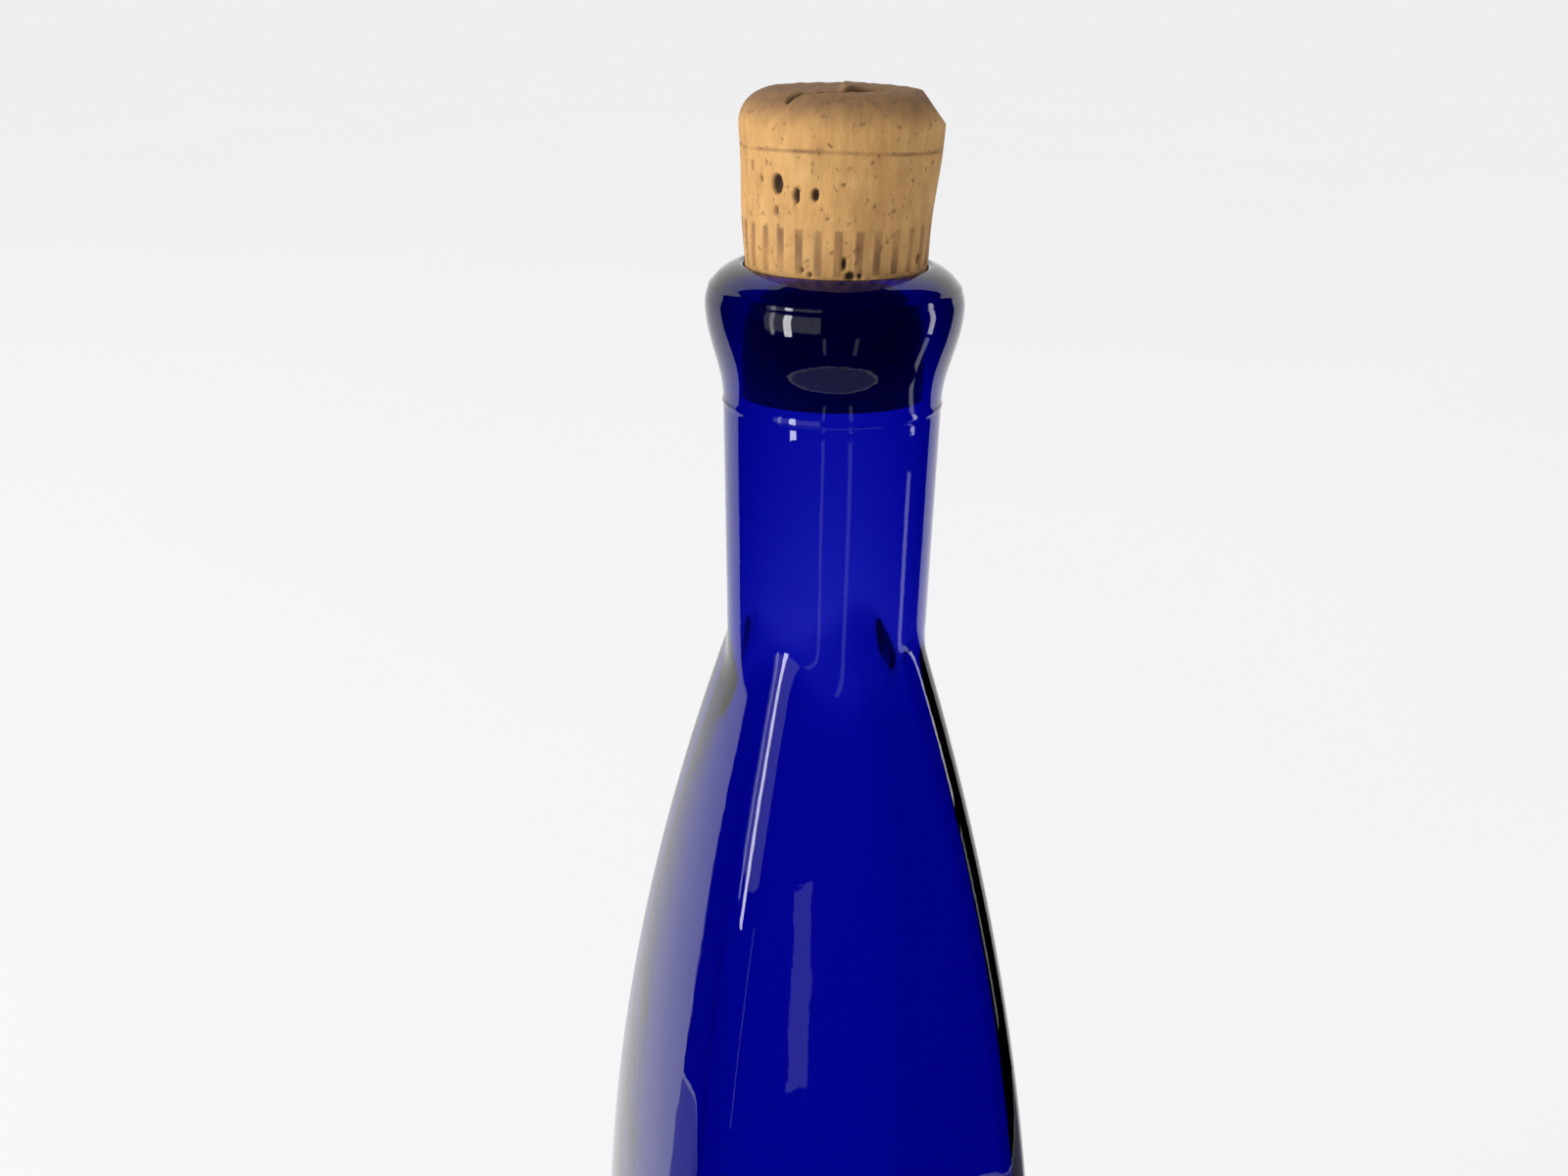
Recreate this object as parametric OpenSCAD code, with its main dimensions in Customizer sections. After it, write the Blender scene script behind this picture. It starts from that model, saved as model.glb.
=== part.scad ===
// Tall square bottle of moulded cobalt glass, with a round neck, a rounded collar and a natural cork.
// Millimetres, +Z up. The origin is the centre of the base, on the surface that the bottle stands on.
// The body's four bowed faces look along X and Y. The photographed edge points to -X -Y.

/* [Body] */
// Width across the middles of opposite faces, at the base
body_width = 58; // [54:1:72]
// Height of the shoulder, where the body's upright edges leave the neck
shoulder_height = 198; // [150:1:240]
// Height of the lower part, whose sides stand upright
upright_height = 72; // [40:1:90]
// Radius of the body's upright edges
edge_radius = 5.5; // [4:0.1:7]
// Angle that each face turns through from its middle to the rounding of its edge
face_bow = 11; // [6:0.5:14]
// Radius of the heel, where the sides turn into the base
heel_radius = 7; // [4:0.5:8]
// Thickness of the body's side walls
wall = 2.8; // [2:0.1:3.4]
// Thickness of the floor above the push-up
floor_thickness = 4.5; // [3:0.1:8]
// Radius of the cavity's upright edges
inner_edge_radius = 4.5; // [3:0.1:6]
// Diameter of the shallow push-up under the base
push_up_diameter = 36; // [20:1:38]
// Depth of the push-up
push_up_depth = 3; // [1:0.1:5]

/* [Neck] */
// Length of the round neck, from the shoulder up to the ring seam under the collar
neck_length = 30; // [20:1:60]
// Outer diameter of the neck at the ring seam
neck_diameter = 27; // [26:0.1:29]
// Outer diameter of the neck at the shoulder
neck_foot_diameter = 25.8; // [25:0.1:27]
// Diameter of the bore, from the mouth down to the cavity
bore_diameter = 22; // [18:0.1:22.4]

/* [Collar] */
// Largest diameter of the collar
collar_diameter = 31.5; // [30:0.1:36]
// Height of the collar's widest place above the ring seam
collar_belly = 12; // [8:0.5:16]
// Height of the lip's rounding, from the widest place up
lip_rise = 5; // [3:0.1:7]
// Width of the lip's rounding, from the widest place in
lip_reach = 5.75; // [4:0.05:7]
// Radius that rounds the edge of the mouth
mouth_rounding = 0.7; // [0.4:0.1:1.2]
// How far each ring seam stands out of the glass
seam_relief = 0.12; // [0.05:0.01:0.3]
// Height of the upper ring seam above the collar's widest place
upper_seam_rise = 2.2; // [1:0.1:2.8]

/* [Cork] */
// Length of the cork
cork_length = 35.8; // [30:0.1:49]
// Length of cork below the lip
cork_insertion = 15.6; // [8:0.1:18]
// Diameter of the cork where it is widest, below its crown
cork_diameter = 24.2; // [23:0.1:26]
// Height of the worn rounding round the crown
crown_drop = 3.8; // [1:0.1:5]
// Width of the worn rounding round the crown
crown_reach = 4.2; // [1:0.1:6]
// Bevel round the cork's lower end
cork_bevel = 0.6; // [0.3:0.1:1.5]
// Gap between the cork and the bore, all round
cork_clearance = 0.05; // [0.02:0.01:0.1]
// Height of the worn flat on the crown's edge, from its foot on the side up to the crown
chip_height = 3.8; // [1:0.1:5]
// Lean of the worn flat from upright
chip_lean = 38; // [25:1:50]
// Direction that the worn flat faces, about the bottle's axis
chip_azimuth = -19; // [-180:1:180]
// Depth of the crack across the crown
crack_depth = 1.1; // [0.4:0.1:2]
// Width of the crack
crack_width = 0.5; // [0.3:0.1:1]
// How far the flake of cork behind the crack has lifted at its free end
flake_lift = 0.7; // [0.3:0.1:1.2]
// Thickness of the flake
flake_thickness = 1.2; // [0.8:0.1:2]
// Slope of the flake, down to where it is still joined
flake_slope = 5.5; // [3:0.5:8]

/* [Hidden] */
$fn = 96;
sides = 4;
face_steps = 6;
edge_steps = 5;
heel_steps = 6;
side_steps = 30;
flare_steps = 12;
lip_steps = 10;
mouth_steps = 5;
crown_steps = 8;

base_half = body_width / 2;
bore_radius = bore_diameter / 2;
foot_radius = neck_foot_diameter / 2;
collar_radius = collar_diameter / 2;
ring_height = shoulder_height + neck_length;
belly_height = ring_height + collar_belly;
neck_taper = (neck_diameter / 2 - foot_radius) / neck_length;

// The half width at which the body's rounded edges just reach the neck's surface
bow_share = 1 + tan(face_bow / 2);
shoulder_half = edge_radius + bow_share * (foot_radius - edge_radius) / sqrt(2);
// Each side is drawn in by one long arc, upright where it starts and at the shoulder's half width where it ends
drawn_in = base_half - shoulder_half;
side_arc = (pow(shoulder_height - upright_height, 2) + pow(drawn_in, 2)) / (2 * drawn_in);
// The outside starts this far up inside the neck, and the neck reaches this far down inside the body
overlap_up = 2;
overlap_down = 25;

cavity_floor = push_up_depth + floor_thickness;
inner_heel_radius = heel_radius - wall / 2;
push_up_sphere = (pow(push_up_diameter / 2, 2) + pow(push_up_depth, 2)) / (2 * push_up_depth);

lip_centre = collar_radius - lip_reach;
mouth_radius = bore_radius + mouth_rounding;
lip_height = lip_level(mouth_radius);
seam_section = 0.3;

seat_radius = bore_radius - cork_clearance;
cork_radius = cork_diameter / 2;
cork_foot = lip_height - cork_insertion;
cork_top = cork_foot + cork_length;
crown_foot = cork_top - crown_drop;
seat_top = lip_height - mouth_rounding;
crack_path = [[-6.4, -6.6], [-4.6, -5.2], [-2.9, -5.4], [-1.4, -4.2], [0.4, -4.0], [1.2, -2.8], [3.8, -2.6]];
flake_outline = [[-0.4, -2.2], [1.2, -2.0], [7.0, -1.4], [6.2, 2.2], [3.0, 3.4], [0.2, 2.0]];

// Half width of the body at a height, across the middles of its faces
function side_half(z) = base_half - side_arc + sqrt(pow(side_arc, 2) - pow(max(0, z - upright_height), 2));

// How far a heel of a radius draws its side in, at a height above the face it turns into
function heel_inset(h, radius) = h >= radius ? 0 : radius - sqrt(radius * radius - pow(radius - h, 2));

// Heights of the rings of a skin: close together round the heel, then along the long arc
function ring_heights(low, high, radius) = concat(
    [for (i = [0 : heel_steps]) low + radius * (1 - cos(90 * i / heel_steps))],
    [for (i = [0 : side_steps]) upright_height + (high - upright_height) * i / side_steps]
);

// One ring of a skin: a square with bowed faces and rounded corners
function bowed_square(half, radius, z) =
    let (corner = (half - radius) / bow_share,
         bow = radius + corner / sin(face_bow))
    [
        for (side = [0 : sides - 1], i = [0 : face_steps + edge_steps - 1])
            let (turn = 360 * side / sides,
                 on_face = i < face_steps,
                 bend = on_face
                     ? face_bow * (2 * i / face_steps - 1)
                     : face_bow + (90 - 2 * face_bow) * (i - face_steps) / edge_steps,
                 x = on_face ? half - bow + bow * cos(bend) : corner + radius * cos(bend),
                 y = on_face ? bow * sin(bend) : corner + radius * sin(bend))
            [x * cos(turn) - y * sin(turn), x * sin(turn) + y * cos(turn), z]
    ];

// Outer radius of the neck, which narrows a little downwards
function neck_radius(z) = foot_radius + neck_taper * (z - shoulder_height);

// Height of the lip's rounding at a radius
function lip_level(r) = belly_height + lip_rise * sqrt(1 - pow(max(0, r - lip_centre) / lip_reach, 2));

// Radius of the lip's rounding at a height above the widest place
function lip_radius(rise) = lip_centre + lip_reach * sqrt(1 - pow(rise / lip_rise, 2));

// A closed skin through rings of equally many points, with flat ends
module skin(rings) {
    count = len(rings[0]);
    last = len(rings) - 1;
    points = [for (ring = rings) each ring];
    foot_face = [for (i = [0 : count - 1]) i];
    top_face = [for (i = [count - 1 : -1 : 0]) last * count + i];
    walls = [
        for (level = [0 : last - 1], i = [0 : count - 1])
            let (low = level * count, high = low + count, next = (i + 1) % count)
            [low + i, high + i, high + next, low + next]
    ];
    polyhedron(points = points, faces = concat([foot_face, top_face], walls), convexity = 4);
}

// The square body, which widens from the neck and stands upright lower down
module body_outside() {
    heights = ring_heights(0, shoulder_height + overlap_up, heel_radius);
    skin([for (z = heights) bowed_square(side_half(z) - heel_inset(z, heel_radius), edge_radius, z)]);
}

// The space inside the body
module body_cavity() {
    heights = ring_heights(cavity_floor, shoulder_height, inner_heel_radius);
    skin([
        for (z = heights)
            let (inset = wall + heel_inset(z - cavity_floor, inner_heel_radius))
            bowed_square(side_half(z) - inset, inner_edge_radius, z)
    ]);
}

// The neck and the collar, which flares out to its widest place and rounds over to the mouth
module neck_and_collar() {
    root = shoulder_height - overlap_down;
    flare = [
        for (i = [0 : flare_steps])
            let (share = i / flare_steps, swell = (1 - cos(180 * share)) / 2)
            [neck_diameter / 2 + (collar_radius - neck_diameter / 2) * swell, ring_height + collar_belly * share]
    ];
    top_rise = lip_height - belly_height;
    lip_end = asin(top_rise / lip_rise);
    lip = [
        for (i = [1 : lip_steps])
            let (angle = lip_end * i / lip_steps)
            [lip_centre + lip_reach * cos(angle), belly_height + lip_rise * sin(angle)]
    ];
    rotate_extrude()
        polygon(concat([[0, root], [neck_radius(root), root]], flare, lip, [[0, lip_height]]));
}

// The bore, with the mouth's edge rounded
module bore() {
    foot = shoulder_height / 2;
    mouth = [
        for (i = [0 : mouth_steps])
            let (angle = 90 * i / mouth_steps)
            [mouth_radius - mouth_rounding * cos(angle), seat_top + mouth_rounding * sin(angle)]
    ];
    above = lip_height + lip_rise;
    rotate_extrude()
        polygon(concat([[0, foot], [bore_radius, foot]], mouth, [[mouth_radius, above], [0, above]]));
}

// A fine ring of glass where two halves of the mould met
module ring_seam(radius, z) {
    rotate_extrude()
        translate([radius + seam_relief - seam_section, z])
            circle(r = seam_section, $fn = 24);
}

// The shallow dome under the base
module push_up() {
    translate([0, 0, push_up_depth - push_up_sphere])
        sphere(r = push_up_sphere);
}

// The bottle, one moulding of glass
module glass_bottle() {
    color("mediumblue")
        difference() {
            union() {
                body_outside();
                neck_and_collar();
                ring_seam(neck_diameter / 2, ring_height);
                ring_seam(lip_radius(upper_seam_rise), belly_height + upper_seam_rise);
            }
            body_cavity();
            bore();
            push_up();
        }
}

// The cork before wear: a plug that fits the bore and widens above the mouth, with a rounded crown
module cork_blank() {
    crown = [
        for (i = [0 : crown_steps])
            let (angle = 90 * i / crown_steps)
            [cork_radius - crown_reach * (1 - cos(angle)), crown_foot + crown_drop * sin(angle)]
    ];
    plug = [
        [0, cork_foot],
        [seat_radius - cork_bevel, cork_foot],
        [seat_radius, cork_foot + cork_bevel],
        [seat_radius, seat_top]
    ];
    rotate_extrude()
        polygon(concat(plug, crown, [[0, cork_top]]));
}

// The worn flat that cuts across the crown's edge
module crown_chip() {
    span = 2 * cork_diameter;
    translate([cork_radius, 0, cork_top - chip_height])
        rotate([0, -chip_lean, 0])
            translate([0, -span / 2, -span / 2])
                cube([span, span, span]);
}

// The wavy crack across the crown
module crown_crack() {
    across = [0, crack_width];
    far_edge = [for (i = [len(crack_path) - 1 : -1 : 0]) crack_path[i] + across];
    translate([0, 0, cork_top - crack_depth])
        linear_extrude(height = 2 * crack_depth)
            polygon(concat(crack_path, far_edge));
}

// The flake behind the crack, which has lifted at one end
module crown_flake() {
    translate([0, 0, cork_top + flake_lift - flake_thickness])
        rotate([0, flake_slope, 0])
            linear_extrude(height = flake_thickness)
                polygon(flake_outline);
}

// The natural cork, worn by reuse
module cork_stopper() {
    color("burlywood")
        rotate([0, 0, chip_azimuth])
            union() {
                difference() {
                    cork_blank();
                    crown_chip();
                    crown_crack();
                }
                crown_flake();
            }
}

glass_bottle();
cork_stopper();
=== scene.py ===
"""Square bottle of moulded cobalt glass, closed by a worn natural cork."""

from types import SimpleNamespace

import bpy
import numpy as np
from bpy.props import FloatProperty, FloatVectorProperty, PointerProperty
from mathutils import Matrix


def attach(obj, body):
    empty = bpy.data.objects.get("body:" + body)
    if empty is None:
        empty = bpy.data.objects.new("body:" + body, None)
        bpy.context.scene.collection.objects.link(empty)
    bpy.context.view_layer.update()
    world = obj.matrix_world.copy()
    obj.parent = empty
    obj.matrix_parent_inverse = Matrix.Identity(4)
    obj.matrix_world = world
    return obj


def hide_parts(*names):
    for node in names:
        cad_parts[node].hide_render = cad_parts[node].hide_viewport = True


bl_info = {
    "name": "Cobalt bottle and cork",
    "version": (1, 0, 0),
    "blender": (4, 5, 0),
    "location": "View3D > Sidebar > Bottle",
    "description": "Builds the moulded glass bottle, its cork and a pale stage around the CAD frame",
    "category": "Add Mesh",
}

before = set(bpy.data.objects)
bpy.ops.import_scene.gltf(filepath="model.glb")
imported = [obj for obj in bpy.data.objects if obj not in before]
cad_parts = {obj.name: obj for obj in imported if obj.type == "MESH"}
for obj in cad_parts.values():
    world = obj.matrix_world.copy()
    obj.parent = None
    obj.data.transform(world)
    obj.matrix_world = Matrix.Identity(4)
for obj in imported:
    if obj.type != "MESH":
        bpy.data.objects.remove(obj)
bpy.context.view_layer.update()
MM = 0.001
GLASS_COLUMNS = 224
CORK_COLUMNS = 288
# Glass, in mm: the fillets where the neck meets the body and the bore meets the cavity
NECK_FILLET, CAVITY_FILLET = 0.35, 0.8
# Below the first height only the body and its cavity count, above the second only the bore
BODY_ALONE, BORE_ALONE = 120.0, 205.0
# The neck alone counts from this far above the shoulder
NECK_ALONE = 12.0
LIP_RISE, LIP_REACH, MOUTH_ROUNDING = 5.0, 5.75, 0.7
HEEL_RADIUS, CAVITY_FLOOR, INNER_HEEL_RADIUS = 7.0, 7.5, 5.6
PUSH_UP_RADIUS, PUSH_UP_DEPTH = 18.0, 3.0
SEAM_WIDTH, UPPER_SEAM_RISE = 0.3, 2.2
# Shift, in radians, that gathers the columns on the body's four edges
GATHERING = 0.12
# Cork: the worn flat on the crown's edge, its lean and the way it faces, and its height in mm
FLAT_LEAN, FLAT_FACING, FLAT_DROP = np.radians(38.0), np.radians(-19.0), 3.8
# Cork, in mm: the crack's depth, the flake's height, the scorched ring, the band of bars and its fade
CRACK_DEPTH, FLAKE_RISE = 1.0, 0.62
RING_MARK, BARS_LOW, BARS_HIGH, BAR_END = 258.7, 244.9, 250.4, 0.3
BAR_COUNT = 30
# Stage: first and last azimuth of the camera's side, in degrees
CAMERA_SIDE = (136, 376)
# Rims of the dim sheet over the floor there, a painted shade of the floor near the camera seen only in
# reflections, each a radius and a height in mm
SHEET_RIMS = ((30, 0.6), (258, 0.6))
STRIP_STEPS = 60
# Stage, in metres: the disc above, a painted dark reflection, the floor's half width and the soft lamp
DISC_RADIUS, DISC_HEIGHT, DISC_SIDES = 0.27, 0.75, 64
FLOOR_REACH = 12.0
LAMP_PLACE, LAMP_TARGET, LAMP_WIDTH = (-1.45, -0.15, 0.75), (0.0, 0.0, 0.2), 0.7
# Width of the camera's sensor, in mm
SENSOR_WIDTH = 36.0
# Share of plain white in the floor for seen rays, and the strength of the white round about
FLOOR_WHITE, BACKGROUND_WHITE = 0.7, 0.96


def linear(code):
    """sRGB hex to linear RGBA."""
    c = np.array([int(code[i : i + 2], 16) for i in (0, 2, 4)]) / 255.0
    c = np.where(c <= 0.04045, c / 12.92, ((c + 0.055) / 1.055) ** 2.4)
    return (*c.tolist(), 1.0)


def distance(label, about, mm):
    """A length, given here in mm and kept in metres, so that Blender shows it in its own units."""
    return FloatProperty(name=label, description=about, default=mm * MM, unit="LENGTH", precision=5)


def colour(label, about, code):
    """A colour, given here as sRGB hex and kept linear."""
    return FloatVectorProperty(
        name=label, description=about, default=linear(code), size=4, subtype="COLOR", min=0.0, max=1.0
    )


def in_mm(group):
    """A group's values by name, with its lengths in mm, as the surfaces are worked out in mm."""
    kinds = group.bl_rna.properties
    values = {key: getattr(group, key) for key in group.__annotations__}
    return SimpleNamespace(
        **{key: value / MM if kinds[key].unit == "LENGTH" else value for key, value in values.items()}
    )


class GlassSizes(bpy.types.PropertyGroup):
    """Sizes of the glass bottle, as its CAD solid has them, and the colour in its depth."""

    body_width: distance("Body width", "Across the middles of opposite faces", 58.0)
    upright_height: distance("Upright height", "Where the sides start to draw in", 72.0)
    shoulder_height: distance("Shoulder height", "Where the edges leave the neck", 198.0)
    edge_radius: distance("Edge radius", "Rounding of the body's upright edges", 5.5)
    face_bow: FloatProperty(
        name="Face bow",
        description="Turn of a face from its middle to its edge",
        default=float(np.radians(11.0)),
        subtype="ANGLE",
    )
    wall: distance("Wall", "Thickness of the side walls", 2.8)
    inner_edge_radius: distance("Inner edge radius", "Rounding of the cavity's edges", 4.5)
    ring_height: distance("Ring height", "Height of the seam under the collar", 228.0)
    neck_radius: distance("Neck radius", "Radius of the neck at the ring seam", 13.5)
    neck_foot_radius: distance("Neck foot radius", "Radius of the neck at the shoulder", 12.9)
    bore_radius: distance("Bore radius", "Radius of the bore", 11.0)
    collar_radius: distance("Collar radius", "Largest radius of the collar", 15.75)
    collar_belly: distance("Collar belly", "Widest place above the ring seam", 12.0)
    seam_relief: distance("Seam relief", "How far a mould seam stands out", 0.12)
    tint: colour("Tint", "Colour that passes the glass", "0045EB")
    density: FloatProperty(
        name="Absorption", description="Strength of the glass's colour, per metre", default=1150.0
    )


class CorkSizes(bpy.types.PropertyGroup):
    """Sizes of the cork, as its CAD solid has them apart from the lean, and its colours."""

    radius: distance("Radius", "Widest radius", 12.1)
    seat_radius: distance("Seat radius", "Radius in the bore", 10.95)
    foot: distance("Foot", "Height of the lower end", 229.18)
    length: distance("Length", "Length of the cork", 35.8)
    seat_top: distance("Seat top", "Height where it widens", 244.08)
    crown_drop: distance("Crown drop", "Height of the crown's rounding", 3.8)
    crown_reach: distance("Crown reach", "Width of the crown's rounding", 4.2)
    lean: distance("Lean", "Sideways shift of the top", 0.35)
    clean: colour("Clean", "Cork that was little handled", "D3A25F")
    worn: colour("Worn", "Handled crown", "8E6740")
    # Dark brown of the pores, partly their own colour and partly painted shade in their wells; it also
    # paints shade in the crack
    pore: colour("Pore", "Depth of the pores", "3F2817")
    scorch: colour("Scorch", "Scorched marks", "6E4528")


class StageSizes(bpy.types.PropertyGroup):
    """Floor, light and camera."""

    floor: colour("Floor", "Floor colour", "F7F7F9")
    fill: FloatProperty(
        name="Fill light", description="Strength of the soft surroundings", default=0.66
    )
    lamp_power: FloatProperty(
        name="Lamp power", description="Power of the soft lamp", default=16.0, unit="POWER"
    )
    lens: FloatProperty(
        name="Lens", description="Focal length of the camera", default=38.25, unit="CAMERA"
    )
    camera: FloatVectorProperty(
        name="Camera place",
        description="Where the camera stands",
        default=(-0.0663, -0.1901, 0.28014),
        subtype="TRANSLATION",
        unit="LENGTH",
    )


def add(tree, kind, links=None, **values):
    """Adds one node: values go to its settings or sockets, links bring other nodes' outputs to it."""
    node = tree.nodes.new(kind)
    for key, value in values.items():
        if hasattr(node, key):
            setattr(node, key, value)
        else:
            node.inputs[key.replace("_", " ")].default_value = value
    for key, source in (links or {}).items():
        tree.links.new(source, node.inputs[key])
    return node


def blank(name):
    """An empty node material and its tree."""
    material = bpy.data.materials.new(name)
    material.use_nodes = True
    material.node_tree.nodes.clear()
    return material, material.node_tree


def smooth_step(x, low, high):
    """0 below low, 1 above high, a cubic ease between."""
    t = np.clip((x - low) / (high - low), 0, 1)
    return t * t * (3 - 2 * t)


def smooth_max(a, b, k):
    """The larger of a and b, with a fillet about k wide where they meet."""
    return (a + b + np.sqrt((a - b) ** 2 + k * k)) / 2


def closed_grid(name, x, y, z, layers=None):
    """A closed surface from a grid of rings; the first and last ring are shrunk to one point each."""
    rows, columns = x.shape
    body = np.stack([x[1:-1], y[1:-1], z[1:-1]], -1).reshape(-1, 3)
    ends = np.array([[axis[end].mean() for axis in (x, y, z)] for end in (0, -1)])
    points = np.vstack([body, ends]) * MM
    inner = rows - 2
    i, j = np.meshgrid(np.arange(inner - 1), np.arange(columns), indexing="ij")
    k = (j + 1) % columns
    row = i * columns
    quads = np.stack([row + j, row + k, row + columns + k, row + columns + j], -1).reshape(-1, 4)
    j = np.arange(columns)
    k = (j + 1) % columns
    first = np.stack([np.full(columns, len(body)), k, j], -1)
    base = (inner - 1) * columns
    last = np.stack([np.full(columns, len(body) + 1), base + j, base + k], -1)
    mesh = bpy.data.meshes.new(name)
    mesh.from_pydata(points, [], quads.tolist() + first.tolist() + last.tolist())
    mesh.polygons.foreach_set("use_smooth", np.ones(len(mesh.polygons), bool))
    for key, layer in (layers or {}).items():
        flat = np.concatenate([layer[1:-1].ravel(), [layer[0].mean(), layer[-1].mean()]])
        mesh.attributes.new(key, "FLOAT", "POINT").data.foreach_set("value", flat.astype(np.float32))
    mesh.update()
    piece = bpy.data.objects.new(name, mesh)
    bpy.context.scene.collection.objects.link(piece)
    return piece


def bowed_radius(azimuth, half, corner_radius, bow):
    """Polar radius of a square with bowed faces: each face's long arc, then its corner's arc."""
    q = np.maximum(half - corner_radius, 0.05) / (1 + np.tan(bow / 2))
    arc = corner_radius + q / np.sin(bow)
    folded = np.abs((azimuth + np.pi / 4) % (np.pi / 2) - np.pi / 4)
    face_centre = half - arc
    face = face_centre * np.cos(folded) + np.sqrt(
        np.maximum(arc**2 - (face_centre * np.sin(folded)) ** 2, 0)
    )
    reach = q * np.sqrt(2)
    off = folded - np.pi / 4
    corner = reach * np.cos(off) + np.sqrt(np.maximum(corner_radius**2 - (reach * np.sin(off)) ** 2, 0))
    turn = np.arctan2(q + corner_radius * np.sin(bow), q + corner_radius * np.cos(bow))
    return np.where(folded < turn, face, corner)


def side_half(z, s):
    """Half width of the body: upright, then drawn in by one long arc tangent to the upright part."""
    base = s.body_width / 2
    share = 1 + np.tan(s.face_bow / 2)
    top = s.edge_radius + share * (s.neck_foot_radius - s.edge_radius) / np.sqrt(2)
    drop, rise = base - top, s.shoulder_height - s.upright_height
    arc = (rise**2 + drop**2) / (2 * drop)
    return base - arc + np.sqrt(arc**2 - np.maximum(0, z - s.upright_height) ** 2)


def neck_at(z, s):
    """Radius of the neck, collar and lip's flank by height: a straight taper, then half a cosine."""
    taper = (s.neck_radius - s.neck_foot_radius) / (s.ring_height - s.shoulder_height)
    neck = s.neck_foot_radius + taper * (z - s.shoulder_height)
    share = np.clip((z - s.ring_height) / s.collar_belly, 0, 1)
    flare = s.neck_radius + (s.collar_radius - s.neck_radius) * (1 - np.cos(np.pi * share)) / 2
    return np.where(z < s.ring_height, neck, flare)


def glass_surface(s):
    """Path over the push-up, heel, side, neck, collar and mouth, then down the bore to the floor.

    Each height gives one ring, whose radius is a function of azimuth. The body is a bowed square, the
    neck and collar are round, and the lip is a quarter ellipse that ends in the mouth's rounding.
    """
    u = np.linspace(0, 2 * np.pi, GLASS_COLUMNS, endpoint=False)
    azimuth = (u + GATHERING * np.sin(4 * u))[None, :]
    belly = s.ring_height + s.collar_belly
    mouth_radius = s.bore_radius + MOUTH_ROUNDING
    lip_end = np.arccos((mouth_radius - (s.collar_radius - LIP_REACH)) / LIP_REACH)
    lip_top = belly + LIP_RISE * np.sin(lip_end)

    def all_round(values):
        """One value a ring, the same at every column."""
        return np.repeat(values[:, None], GLASS_COLUMNS, 1)

    def outside(z):
        """The larger of neck and body, with a small fillet that fades out above the shoulder."""
        h = z[:, None]
        heel_arc = np.sqrt(np.maximum(HEEL_RADIUS**2 - (HEEL_RADIUS - h) ** 2, 0))
        inset = np.where(h < HEEL_RADIUS, HEEL_RADIUS - heel_arc, 0)
        body = bowed_radius(azimuth, side_half(h, s) - inset, s.edge_radius, s.face_bow)
        neck = neck_at(h, s)
        fillet = NECK_FILLET * (1 - smooth_step(h, s.shoulder_height - 4, s.shoulder_height + 10))
        joined = smooth_max(neck, body, fillet)
        below = np.where(h < BODY_ALONE, body, joined)
        return np.where(h > s.shoulder_height + NECK_ALONE, neck, below)

    def inside(z):
        """The larger of the bore and the body's cavity, with a soft edge where they meet."""
        h = z[:, None]
        rise = h - CAVITY_FLOOR
        heel_arc = np.sqrt(np.maximum(INNER_HEEL_RADIUS**2 - (INNER_HEEL_RADIUS - rise) ** 2, 0))
        inset = np.where(rise < INNER_HEEL_RADIUS, INNER_HEEL_RADIUS - heel_arc, 0)
        half = np.maximum(side_half(h, s) - s.wall - inset, s.inner_edge_radius + 0.3)
        cavity = bowed_radius(azimuth, half, s.inner_edge_radius, s.face_bow)
        joined = smooth_max(s.bore_radius, cavity, CAVITY_FILLET)
        above = np.where(h > BORE_ALONE, s.bore_radius, joined)
        return np.where(h < BODY_ALONE, cavity, above)

    bend = np.linspace(0, np.pi / 2, 12)
    seam = np.linspace(-0.9, 0.9, 13)
    side_z = np.concatenate(
        [HEEL_RADIUS * (1 - np.cos(bend[1:])), np.linspace(HEEL_RADIUS + 1, s.shoulder_height - 2, 96),
         np.linspace(s.shoulder_height, s.ring_height - 1.1, 24), s.ring_height + seam,
         np.linspace(s.ring_height + 1.1, belly, 26)[:-1]]
    )
    radii = outside(side_z)
    radii += s.seam_relief * np.exp(-(((side_z - s.ring_height) / SEAM_WIDTH) ** 2))[:, None]
    rings = [(radii, all_round(side_z))]
    # The base: the push-up's dome from its middle out, then the flat band to the heel
    dome = np.linspace(0, PUSH_UP_RADIUS, 12)
    dome_arc = (PUSH_UP_RADIUS**2 + PUSH_UP_DEPTH**2) / (2 * PUSH_UP_DEPTH)
    dome_z = PUSH_UP_DEPTH - dome_arc + np.sqrt(dome_arc**2 - dome**2)
    edge = outside(np.array([0.0]))[0]
    base_r = [np.full(GLASS_COLUMNS, r) for r in dome] + [
        PUSH_UP_RADIUS + (edge - PUSH_UP_RADIUS) * t for t in (0.05, 0.5, 0.95, 1.0)
    ]
    base_z = [np.full(GLASS_COLUMNS, h) for h in dome_z] + [np.zeros(GLASS_COLUMNS)] * 4
    rings.insert(0, (np.array(base_r), np.array(base_z)))
    # The lip's quarter ellipse with its upper seam, then the mouth's rounding
    angle = np.linspace(0, lip_end, 40)
    lip_r = s.collar_radius - LIP_REACH + LIP_REACH * np.cos(angle)
    lip_z = belly + LIP_RISE * np.sin(angle)
    lip_r += s.seam_relief * np.exp(-(((lip_z - belly - UPPER_SEAM_RISE) / SEAM_WIDTH) ** 2))
    turn = np.linspace(0, np.pi / 2, 8)[1:]
    mouth_r = mouth_radius - MOUTH_ROUNDING * np.sin(turn)
    mouth_z = lip_top - MOUTH_ROUNDING * (1 - np.cos(turn))
    ring_r = np.concatenate([lip_r, mouth_r])
    ring_z = np.concatenate([lip_z, mouth_z])
    rings.append((all_round(ring_r), all_round(ring_z)))
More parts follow.
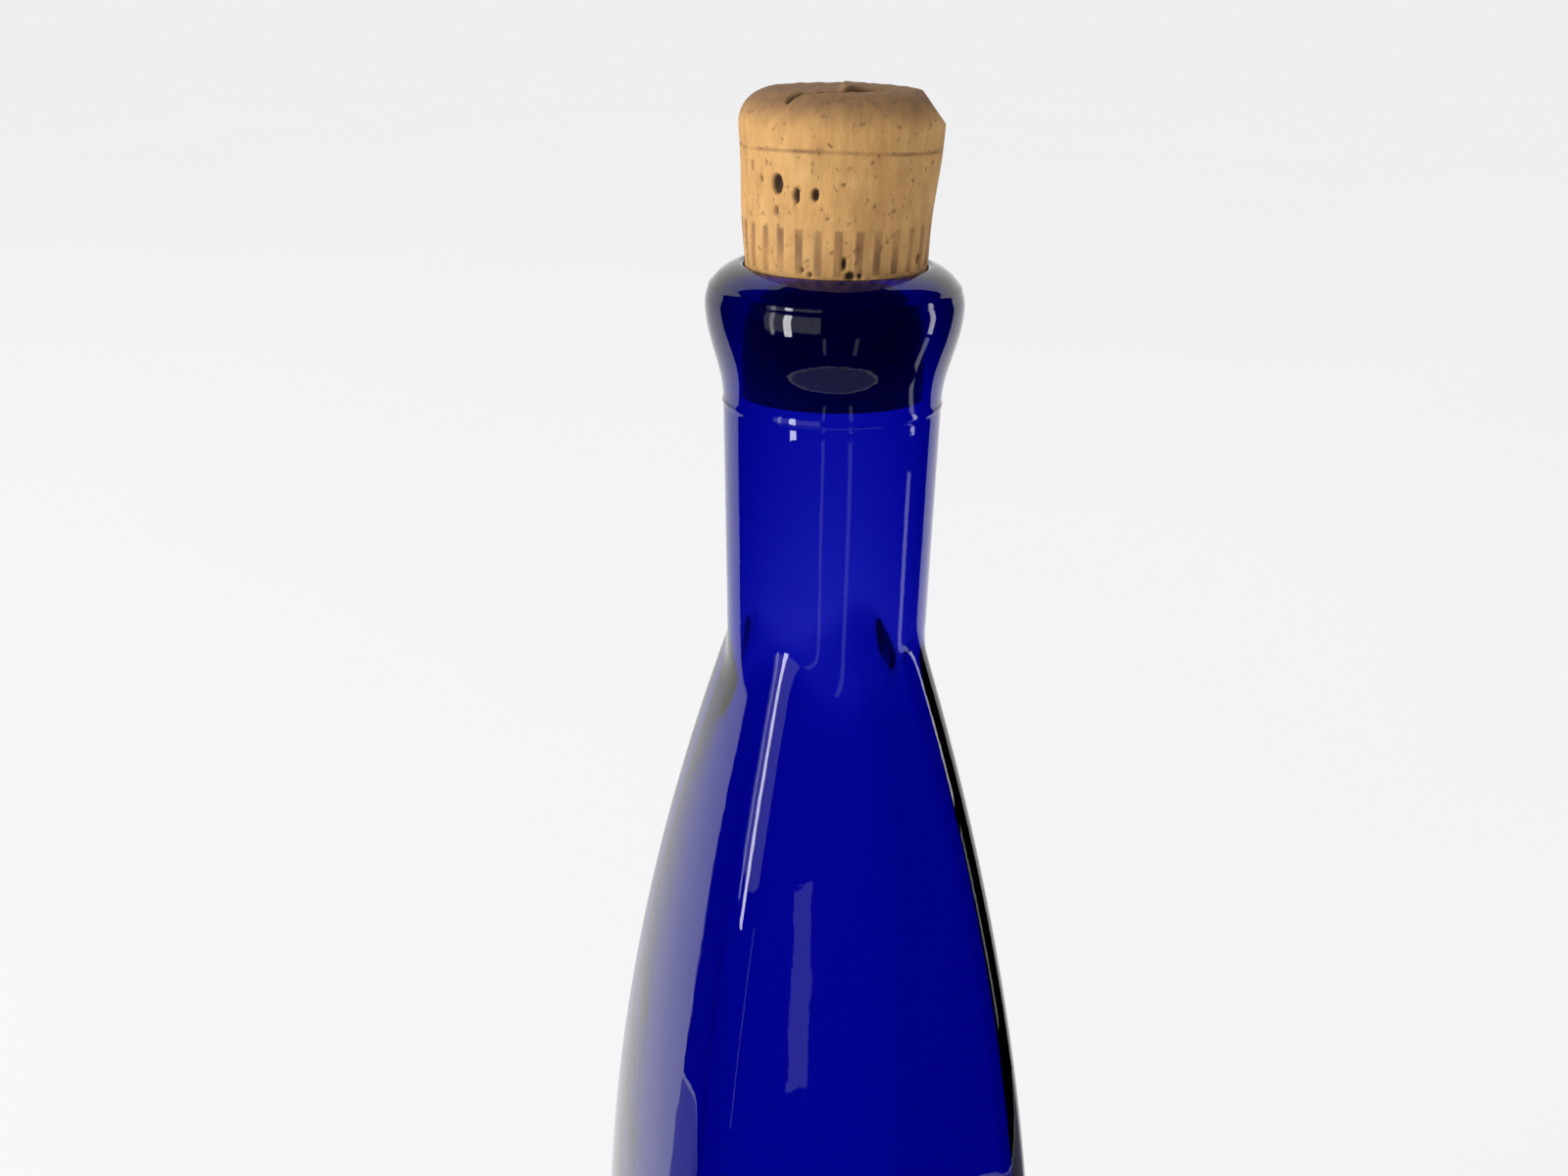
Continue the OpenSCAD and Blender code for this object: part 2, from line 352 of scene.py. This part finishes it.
    # Down the bore and the cavity, round the inner heel and over the floor
    down_z = np.concatenate(
        [np.linspace(lip_top - MOUTH_ROUNDING - 0.5, s.shoulder_height + 2, 24),
         np.linspace(s.shoulder_height, CAVITY_FLOOR + INNER_HEEL_RADIUS, 84),
         CAVITY_FLOOR + INNER_HEEL_RADIUS * (1 - np.sin(bend[1:]))]
    )
    inner = inside(down_z)
    rings.append((inner, all_round(down_z)))
    share = np.array([0.95, 0.7, 0.4, 0.15, 0.0])[:, None]
    rings.append((inner[-1][None, :] * share, np.full((len(share), GLASS_COLUMNS), CAVITY_FLOOR)))
    r = np.vstack([a for a, _ in rings])
    z = np.vstack([b for _, b in rings])
    return r * np.cos(azimuth), r * np.sin(azimuth), z


def cobalt_glass(s):
    """Cobalt soda-lime glass, blown in a mould: clear skin, colour in its depth, faint mould waves."""
    material, tree = blank("cobalt_soda_lime_glass_moulded")
    place = add(tree, "ShaderNodeTexCoord").outputs["Object"]
    # Cold mould waves about 14 mm long, and a fine skin ripple about 2.5 mm long
    wave = add(tree, "ShaderNodeTexNoise", {"Vector": place}, Scale=70.0, Detail=1.0)
    ripple = add(tree, "ShaderNodeTexNoise", {"Vector": place}, Scale=400.0, Detail=2.0)
    low = add(tree, "ShaderNodeBump", {"Height": wave.outputs["Fac"]}, Strength=0.25, Distance=0.00035)
    fine = add(
        tree, "ShaderNodeBump", {"Height": ripple.outputs["Fac"], "Normal": low.outputs["Normal"]},
        Strength=0.12, Distance=0.00008,
    )
    # Handling film: a little rougher in cloudy patches about 20 mm wide
    film = add(tree, "ShaderNodeTexNoise", {"Vector": place}, Scale=50.0, Detail=4.0)
    patches = {"Value": film.outputs["Fac"]}
    rough = add(tree, "ShaderNodeMapRange", patches, From_Min=0.45, From_Max=0.75)
    rough.inputs["To Min"].default_value = 0.015
    rough.inputs["To Max"].default_value = 0.06
    shader = add(
        tree, "ShaderNodeBsdfPrincipled",
        {"Normal": fine.outputs["Normal"], "Roughness": rough.outputs["Result"]}, IOR=1.5,
    )
    shader.inputs["Base Color"].default_value = linear("FFFFFF")
    shader.inputs["Transmission Weight"].default_value = 1.0
    depth = add(tree, "ShaderNodeVolumeAbsorption", Color=tuple(s.tint), Density=s.density)
    add(tree, "ShaderNodeOutputMaterial", {"Surface": shader.outputs[0], "Volume": depth.outputs[0]})
    return material


class BOTTLE_OT_glass(bpy.types.Operator):
    """Make the glass bottle, one moulding with its collar, bore and cavity"""

    bl_idname = "bottle.glass"
    bl_label = "Glass bottle"

    def execute(self, context):
        sizes = in_mm(context.scene.glass_sizes)
        piece = closed_grid("glass_bottle_moulding", *glass_surface(sizes))
        piece.data.materials.append(cobalt_glass(sizes))
        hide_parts("glass_bottle")
        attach(piece, "bottle")
        return {"FINISHED"}


# Pores and pits of the cork: azimuth in degrees, height, half width, half height and depth in mm
PORES = np.array([
    (-146.0, 255.1, 0.75, 1.15, 1.0), (-133.4, 254.0, 0.38, 0.95, 0.8),
    (-122.3, 254.2, 0.45, 0.75, 0.8), (-147.2, 252.1, 0.38, 0.70, 0.4),
    (-159.0, 255.4, 0.30, 0.35, 0.4), (-168.0, 256.7, 0.25, 0.70, 0.5),
    (-106.6, 255.4, 0.22, 0.25, 0.3), (-114.5, 251.6, 0.20, 0.25, 0.3),
    (-75.8, 252.3, 0.22, 0.30, 0.2), (-104.4, 246.5, 0.30, 0.85, 0.6),
    (-100.4, 244.9, 0.65, 0.70, 0.7), (-94.4, 245.0, 0.35, 0.40, 0.5),
    (-129.7, 245.6, 0.28, 0.35, 0.4), (-124.6, 245.1, 0.30, 0.35, 0.4),
    (-50.4, 246.4, 0.40, 0.60, 0.6), (20.0, 256.0, 0.60, 1.00, 0.9),
    (48.0, 251.0, 0.35, 0.80, 0.6), (85.0, 255.5, 0.45, 0.60, 0.7),
    (118.0, 248.5, 0.55, 0.95, 0.8), (150.0, 253.0, 0.30, 0.60, 0.5),
    (68.0, 247.5, 0.30, 0.50, 0.5),
])


def cork_surface(s):
    """A plug that widens above the mouth, with a crown rounded by a quarter ellipse.

    Wells are taken from its side for the pores, a wavy trough from the crown for the crack, and what
    lies past a leaning plane for the worn flat. The top is then shifted sideways by the lean.
    """
    top = s.foot + s.length
    crown_foot = top - s.crown_drop
    angle = np.linspace(0, np.pi / 2, 26)
    profile_r = np.concatenate([
        np.linspace(0, s.seat_radius - 0.6, 8), s.seat_radius - 0.6 + np.array([0.3, 0.6]),
        np.full(20, s.seat_radius), np.linspace(s.seat_radius, s.radius, 110)[1:],
        s.radius - s.crown_reach * (1 - np.cos(angle[1:])),
        np.linspace(s.radius - s.crown_reach, 0, 42)[1:],
    ])
    profile_z = np.concatenate([
        np.full(8, s.foot), s.foot + np.array([0.3, 0.6]),
        np.linspace(s.foot + 0.8, s.seat_top, 20), np.linspace(s.seat_top, crown_foot, 110)[1:],
        crown_foot + s.crown_drop * np.sin(angle[1:]), np.full(41, top),
    ])
    azimuth = np.linspace(-np.pi, np.pi, CORK_COLUMNS, endpoint=False)[None, :]
    r = np.repeat(profile_r[:, None], CORK_COLUMNS, 1)
    z = np.repeat(profile_z[:, None], CORK_COLUMNS, 1)
    x, y = r * np.cos(azimuth), r * np.sin(azimuth)
    shown = smooth_step(z, s.seat_top + 0.2, s.seat_top + 1.0)
    on_side = 1 - smooth_step(z, crown_foot + 1.5, top - 0.2)
    # Pores are soft wells in the side, deepest in the middle
    pit = np.zeros_like(r)
    for where, height, half_width, half_height, depth in PORES:
        away = (np.degrees(azimuth) - where + 180) % 360 - 180
        across = np.radians(away) * s.radius / half_width
        well = np.clip(1.25 - (across**2 + ((z - height) / half_height) ** 2) ** 0.9, 0, 1)
        pit = np.maximum(pit, depth * well)
    pit *= shown * on_side
    # Handling leaves the side a little uneven, in waves of 6 to 15 mm
    uneven = 0.06 * np.sin(3 * azimuth + 0.5 * z) + 0.05 * np.sin(7 * azimuth - 0.3 * z + 1.0)
    squeeze = (uneven - pit) * shown * on_side
    # The crown is a little domed and rough, cut by a wavy crack and by the worn flat
    a = FLAT_FACING
    across, along = x * np.cos(a) + y * np.sin(a), -x * np.sin(a) + y * np.cos(a)
    on_top = smooth_step(z, top - 0.6, top - 0.05)
    path_x = np.array([-6.4, -4.6, -2.9, -1.4, 0.4, 1.2, 3.8])
    path_y = np.array([-6.6, -5.2, -5.4, -4.2, -4.0, -2.8, -2.6])
    line = np.interp(across, path_x, path_y) - 2.0
    inside = smooth_step(across, -6.6, -5.8) * (1 - smooth_step(across, 3.4, 4.2))
    on_crown = smooth_step(z, top - 2.6, top - 1.8)
    crack = inside * np.exp(-(((along - line) / 0.4) ** 2)) * on_crown
    flake = smooth_step(along, line + 0.1, line + 0.6) * (1 - smooth_step(along, 1.8, 3.6))
    flake = flake * smooth_step(across, -0.6, 0.2) * (1 - smooth_step(across, 0.2, 6.8)) * on_top
    grain = 0.05 * np.sin(2.3 * across + 1.1 * along) * np.sin(1.7 * along - 0.6 * across)
    z = z + on_top * grain + FLAKE_RISE * flake - CRACK_DEPTH * crack
    flat = (across - s.radius) * np.cos(FLAT_LEAN) + (z - (top - FLAT_DROP)) * np.sin(FLAT_LEAN)
    cut = np.maximum(flat, 0)
    x, y = x + squeeze * np.cos(azimuth), y + squeeze * np.sin(azimuth)
    x = x - cut * np.cos(FLAT_LEAN) * np.cos(a)
    y = y - cut * np.cos(FLAT_LEAN) * np.sin(a)
    z = z - cut * np.sin(FLAT_LEAN)
    shift = s.lean * smooth_step(z, s.seat_top, top)
    x, y = x + shift * np.cos(a), y + shift * np.sin(a)
    # Scorched marks: one uneven ring, and a plain row of upright bars under it
    ring = np.exp(-(((z - RING_MARK - 0.25 * np.sin(2.2 * azimuth)) / 0.24) ** 2))
    ring = ring * (0.65 + 0.35 * np.sin(9 * azimuth) * np.sin(4 * azimuth + 1))
    bar = smooth_step(np.cos(BAR_COUNT * azimuth), 0.05, 0.5)
    foot_end = smooth_step(z, BARS_LOW, BARS_LOW + BAR_END)
    tall = foot_end * (1 - smooth_step(z, BARS_HIGH - BAR_END, BARS_HIGH))
    faded = 0.68 + 0.3 * np.sin(5 * azimuth + 0.8 * z) * np.sin(3 * azimuth - 0.5)
    mark = np.maximum(ring, faded * bar * tall) * shown
    wear = np.maximum(smooth_step(z, crown_foot - 1.0, top - 0.4), on_top)
    # Dark by the depth of the pores and along the crack: partly the pores' own colour, partly painted
    # shade in the wells and the crack
    pore_colour_and_crack_shade = np.clip(np.maximum(pit / 0.6, crack * 1.2), 0, 1)
    return x, y, z, {"mark": mark, "wear": wear, "pore_colour_and_crack_shade": pore_colour_and_crack_shade}


def cork_bark(s):
    """Natural cork, cut across the bark: pores, a dry matt skin, darker where handled and scorched,
    with painted shade in the pore wells and the crack.
    """
    material, tree = blank("natural_cork_cut_and_worn")
    place = add(tree, "ShaderNodeTexCoord").outputs["Object"]
    # Growth grain 1.2 mm wide, drawn along the cork's length, and clouds of colour 5 mm wide
    stretch = add(tree, "ShaderNodeMapping", {"Vector": place})
    stretch.inputs["Scale"].default_value = (1.0, 1.0, 0.3)
    grain = add(tree, "ShaderNodeTexNoise", {"Vector": stretch.outputs[0]}, Scale=820.0, Detail=6.0)
    cloud = add(tree, "ShaderNodeTexNoise", {"Vector": place}, Scale=190.0, Detail=3.0)
    # Cork cells are too fine to show, so they are drawn 0.7 mm wide; flecks of bark are 0.8 mm
    cells = add(tree, "ShaderNodeTexVoronoi", {"Vector": place}, Scale=1500.0)
    fleck = add(tree, "ShaderNodeTexNoise", {"Vector": place}, Scale=1300.0, Detail=2.0)
    wear, mark, pore_colour_and_crack_shade = [
        add(tree, "ShaderNodeAttribute", attribute_name=key).outputs["Fac"]
        for key in ("wear", "mark", "pore_colour_and_crack_shade")
    ]

    def mix(fac, a, b):
        """One colour mix, its sides given as a colour or as an output."""
        node = add(tree, "ShaderNodeMix", data_type="RGBA")
        for socket, value in ((6, a), (7, b)):
            if isinstance(value, bpy.types.NodeSocket):
                tree.links.new(value, node.inputs[socket])
            else:
                node.inputs[socket].default_value = value
        tree.links.new(fac, node.inputs[0])
        return node.outputs[2]

    def ranged(value, low, high, top=1.0):
        """A clamped ramp of a value."""
        node = add(tree, "ShaderNodeMapRange", {"Value": value}, From_Min=low, From_Max=high)
        node.inputs["To Max"].default_value = top
        return node.outputs["Result"]

    tone = mix(ranged(grain.outputs["Fac"], 0.35, 0.72, 0.75), s.clean, linear("B5854A"))
    tone = mix(ranged(cloud.outputs["Fac"], 0.5, 0.75, 0.5), tone, linear("E2BA78"))
    tone = mix(ranged(fleck.outputs["Fac"], 0.62, 0.72, 0.7), tone, linear("7A5532"))
    worn = mix(ranged(grain.outputs["Fac"], 0.3, 0.7, 0.8), s.worn, linear("6E5236"))
    tone = mix(ranged(wear, 0.1, 1.0, 0.92), tone, worn)
    tone = mix(ranged(mark, 0.1, 1.0, 0.8), tone, s.scorch)
    # Pore colour and painted shade in the pore wells and the crack
    tone = mix(ranged(pore_colour_and_crack_shade, 0.05, 0.8, 0.95), tone, s.pore)
    rough = add(tree, "ShaderNodeBump", {"Height": grain.outputs["Fac"]}, Strength=0.6, Distance=0.0003)
    skin = add(
        tree, "ShaderNodeBump",
        {"Height": cells.outputs["Distance"], "Normal": rough.outputs["Normal"]},
        Strength=0.3, Distance=0.0001,
    )
    shader = add(
        tree, "ShaderNodeBsdfPrincipled", {"Base Color": tone, "Normal": skin.outputs["Normal"]},
        Roughness=0.85,
    )
    add(tree, "ShaderNodeOutputMaterial", {"Surface": shader.outputs[0]})
    return material


class BOTTLE_OT_cork(bpy.types.Operator):
    """Make the worn natural cork"""

    bl_idname = "bottle.cork"
    bl_label = "Cork stopper"

    def execute(self, context):
        sizes = in_mm(context.scene.cork_sizes)
        piece = closed_grid("cork_stopper_natural", *cork_surface(sizes))
        piece.data.materials.append(cork_bark(sizes))
        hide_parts("cork_stopper")
        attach(piece, "cork")
        return {"FINISHED"}


def floor_finish(s):
    """Matt painted board, with a cloudiness too faint to read as a pattern."""
    material, tree = blank("matt_painted_board")
    place = add(tree, "ShaderNodeTexCoord").outputs["Object"]
    cloud = add(tree, "ShaderNodeTexNoise", {"Vector": place}, Scale=3.0, Detail=2.0)
    tone = add(tree, "ShaderNodeMix", {0: cloud.outputs["Fac"]}, data_type="RGBA")
    tone.inputs[6].default_value = tuple(s.floor)
    tone.inputs[7].default_value = linear("EDECF2")
    board = add(tree, "ShaderNodeBsdfDiffuse", {"Color": tone.outputs[2]})
    # Seen rays get part of the board as plain white, which leaves the bottle's shadow on it
    seen = seen_rays(tree)
    share = add(tree, "ShaderNodeMath", {0: seen}, operation="MULTIPLY")
    share.inputs[1].default_value = FLOOR_WHITE
    white = add(tree, "ShaderNodeEmission", Color=linear("FFFFFF"), Strength=1.0)
    mixed = add(
        tree, "ShaderNodeMixShader", {0: share.outputs[0], 1: board.outputs[0], 2: white.outputs[0]}
    )
    add(tree, "ShaderNodeOutputMaterial", {"Surface": mixed.outputs[0]})
    return material


def seen_rays(tree):
    """1 for camera, glossy and transmission rays, which carry the pale background."""
    path = add(tree, "ShaderNodeLightPath").outputs
    seen = path["Is Camera Ray"]
    for kind in ("Is Glossy Ray", "Is Transmission Ray"):
        seen = add(tree, "ShaderNodeMath", {0: seen, 1: path[kind]}, operation="MAXIMUM").outputs[0]
    return seen


def surroundings(s):
    """White for camera, glossy and transmission rays, a plain soft fill for everything else."""
    world = bpy.data.worlds.new("soft_studio")
    bpy.context.scene.world = world
    world.use_nodes = True
    tree = world.node_tree
    tree.nodes.clear()
    seen = seen_rays(tree)
    fill = add(tree, "ShaderNodeBackground", Color=linear("F6F6FA"), Strength=s.fill)
    white = add(tree, "ShaderNodeBackground", Color=linear("FFFFFF"), Strength=BACKGROUND_WHITE)
    sides = {0: seen, 1: fill.outputs[0], 2: white.outputs[0]}
    either = add(tree, "ShaderNodeMixShader", sides)
    add(tree, "ShaderNodeOutputWorld", {"Surface": either.outputs[0]})


def plain_mesh(name, points, faces, material):
    """A stage mesh with its material, linked to the scene."""
    mesh = bpy.data.meshes.new(name)
    mesh.from_pydata(points, [], faces)
    mesh.materials.append(material)
    thing = bpy.data.objects.new(name, mesh)
    bpy.context.scene.collection.objects.link(thing)
    return thing


# Painted reflections on the camera's side, cards seen only in reflections: the dark flag is a painted
# dark reflection of the dark room, and the glowing strips are painted highlights of windows and
# streaks, not lamps.
# Columns: name, both azimuths, lowest and highest point, radius, colour, strength
# The lengths are in mm, and the bright cards stand a little in front of the dark one
PAINTED_REFLECTION_CARDS = (
    ("flag", *CAMERA_SIDE, 2, 750, 260, "08080C", 1.0),
    ("window_left", 208, 215, 145, 330, 255, "FFFFFF", 12.0),
    ("window_left_edge", 195, 199, 150, 330, 255, "FFFFFF", 3.5),
    ("window_left_haze", 190, 240, 165, 330, 257, "FFFFFF", 0.7),
    ("window_right", 340, 346, 150, 330, 255, "FFFFFF", 5.0),
    ("streak_right", 339, 345, 60, 140, 255, "F0F0FF", 1.6),
    ("streak_middle", 269, 273, 60, 145, 255, "F0F0FF", 0.6),
    ("streak_left", 241.5, 244.5, 60, 145, 255, "F0F0FF", 0.6),
)


def only_reflected(card):
    """Leaves a card in reflections alone."""
    card.visible_camera = card.visible_diffuse = card.visible_transmission = False
    card.visible_shadow = card.visible_volume_scatter = False


def glow(name, tone, strength):
    """A card that shines evenly, used here for painted reflections."""
    material, tree = blank(name)
    shader = add(tree, "ShaderNodeEmission", Color=linear(tone), Strength=strength)
    add(tree, "ShaderNodeOutputMaterial", {"Surface": shader.outputs[0]})
    return material


def reflected_strip(name, span, rims, tone, strength):
    """A card bent about the bottle's axis, between two rims given as radius and height in mm."""
    turn = np.radians(np.linspace(*span, STRIP_STEPS + 1))
    ring = np.stack([np.cos(turn), np.sin(turn)], -1)
    points = [(*(p * radius * MM), height * MM) for radius, height in rims for p in ring]
    row = len(ring)
    faces = [(i, i + 1, i + row + 1, i + row) for i in range(STRIP_STEPS)]
    only_reflected(plain_mesh(name, points, faces, glow(name + "_card", tone, strength)))


def overhead_painted_dark_reflection():
    """A dark disc above, seen only in reflections: a painted dark reflection, which keeps the front of
    the lip from mirroring the sky.
    """
    turn = np.linspace(0, 2 * np.pi, DISC_SIDES, endpoint=False)
    points = [(DISC_RADIUS * np.cos(a), DISC_RADIUS * np.sin(a), DISC_HEIGHT) for a in turn]
    dark = glow("overhead_painted_dark_reflection_card", "08080C", 1.0)
    only_reflected(plain_mesh("overhead_painted_dark_reflection", points, [tuple(range(DISC_SIDES))], dark))


class BOTTLE_OT_stage(bpy.types.Operator):
    """Make the floor, the reflected cards, the surroundings, the lamp and the camera"""

    bl_idname = "bottle.stage"
    bl_label = "Stage"

    def execute(self, context):
        s = context.scene.stage_sizes
        quarters = ((-1, -1), (1, -1), (1, 1), (-1, 1))
        corners = [(FLOOR_REACH * x, FLOOR_REACH * y, 0) for x, y in quarters]
        plain_mesh("floor", corners, [(0, 1, 2, 3)], floor_finish(s))
        # Painted highlights and painted dark reflections, seen only in the glass
        for name, start, end, low, high, radius, tone, strength in PAINTED_REFLECTION_CARDS:
            reflected_strip(name, (start, end), ((radius, low), (radius, high)), tone, strength)
        # The sheet between bottle and camera, seen only in reflections: painted shade of the floor on
        # the camera's side, dim in reflections
        reflected_strip("near_floor_painted_shade", CAMERA_SIDE, SHEET_RIMS, "8C8CA8", 1.0)
        overhead_painted_dark_reflection()
        surroundings(s)
        lamp = bpy.data.lights.new("soft_lamp", "AREA")
        lamp.shape, lamp.size, lamp.energy = "DISK", LAMP_WIDTH, s.lamp_power
        light = bpy.data.objects.new("soft_lamp", lamp)
        light.matrix_world = look_from(np.array(LAMP_PLACE), np.array(LAMP_TARGET))
        context.scene.collection.objects.link(light)
        camera = bpy.data.cameras.new("camera")
        camera.lens, camera.sensor_width, camera.sensor_fit = s.lens, SENSOR_WIDTH, "HORIZONTAL"
        camera.clip_start = 0.01
        eye = bpy.data.objects.new("camera", camera)
        eye.matrix_world = photo_view(np.array(s.camera))
        context.scene.collection.objects.link(eye)
        context.scene.camera = eye
        context.scene.view_settings.view_transform = "Standard"
        return {"FINISHED"}


def pose_matrix(right, up, forward, place):
    """A placement from its right, up and forward directions."""
    m = np.eye(4)
    m[:3, 0], m[:3, 1], m[:3, 2], m[:3, 3] = right, up, -forward, place
    return Matrix(m.tolist())


def look_from(place, target):
    """A placement at place, looking at target."""
    forward = (target - place) / np.linalg.norm(target - place)
    right = np.cross(forward, [0, 0, 1.0])
    right /= np.linalg.norm(right)
    return pose_matrix(right, np.cross(right, forward), forward, place)


def photo_view(place):
    """The fitted camera: yaw and pitch about the bottle, a small roll, then the row's turn about Z."""
    yaw, pitch, roll, turn = np.radians([-1.593, 21.053, 0.920, -19.23])
    forward = np.array([np.sin(yaw) * np.cos(pitch), np.cos(yaw) * np.cos(pitch), -np.sin(pitch)])
    right = np.array([np.cos(yaw), -np.sin(yaw), 0.0])
    up = np.cross(right, forward)
    rolled = right * np.cos(roll) + up * np.sin(roll)
    upright = -right * np.sin(roll) + up * np.cos(roll)
    c, s = np.cos(turn), np.sin(turn)
    about = np.array([[c, -s, 0], [s, c, 0], [0, 0, 1.0]])
    return pose_matrix(about @ rolled, about @ upright, about @ forward, place)


class BOTTLE_PT_panel(bpy.types.Panel):
    """Lists the makers of the pieces"""

    bl_label = "Bottle"
    bl_idname = "BOTTLE_PT_panel"
    bl_space_type = "VIEW_3D"
    bl_region_type = "UI"
    bl_category = "Bottle"

    def draw(self, context):
        for operator in OPERATORS:
            self.layout.operator(operator.bl_idname)


GROUPS = {"glass_sizes": GlassSizes, "cork_sizes": CorkSizes, "stage_sizes": StageSizes}
OPERATORS = (BOTTLE_OT_stage, BOTTLE_OT_glass, BOTTLE_OT_cork)


def register():
    """Registers the groups, the operators and the panel."""
    for name, group in GROUPS.items():
        bpy.utils.register_class(group)
        setattr(bpy.types.Scene, name, PointerProperty(type=group))
    for cls in (*OPERATORS, BOTTLE_PT_panel):
        bpy.utils.register_class(cls)


def unregister():
    """Takes back what register does."""
    for cls in (BOTTLE_PT_panel, *OPERATORS):
        bpy.utils.unregister_class(cls)
    for name, group in GROUPS.items():
        delattr(bpy.types.Scene, name)
        bpy.utils.unregister_class(group)


def main():
    """Makes the stage and the pieces."""
    register()
    bpy.ops.bottle.stage()
    bpy.ops.bottle.glass()
    bpy.ops.bottle.cork()


if __name__ == "__main__":
    main()
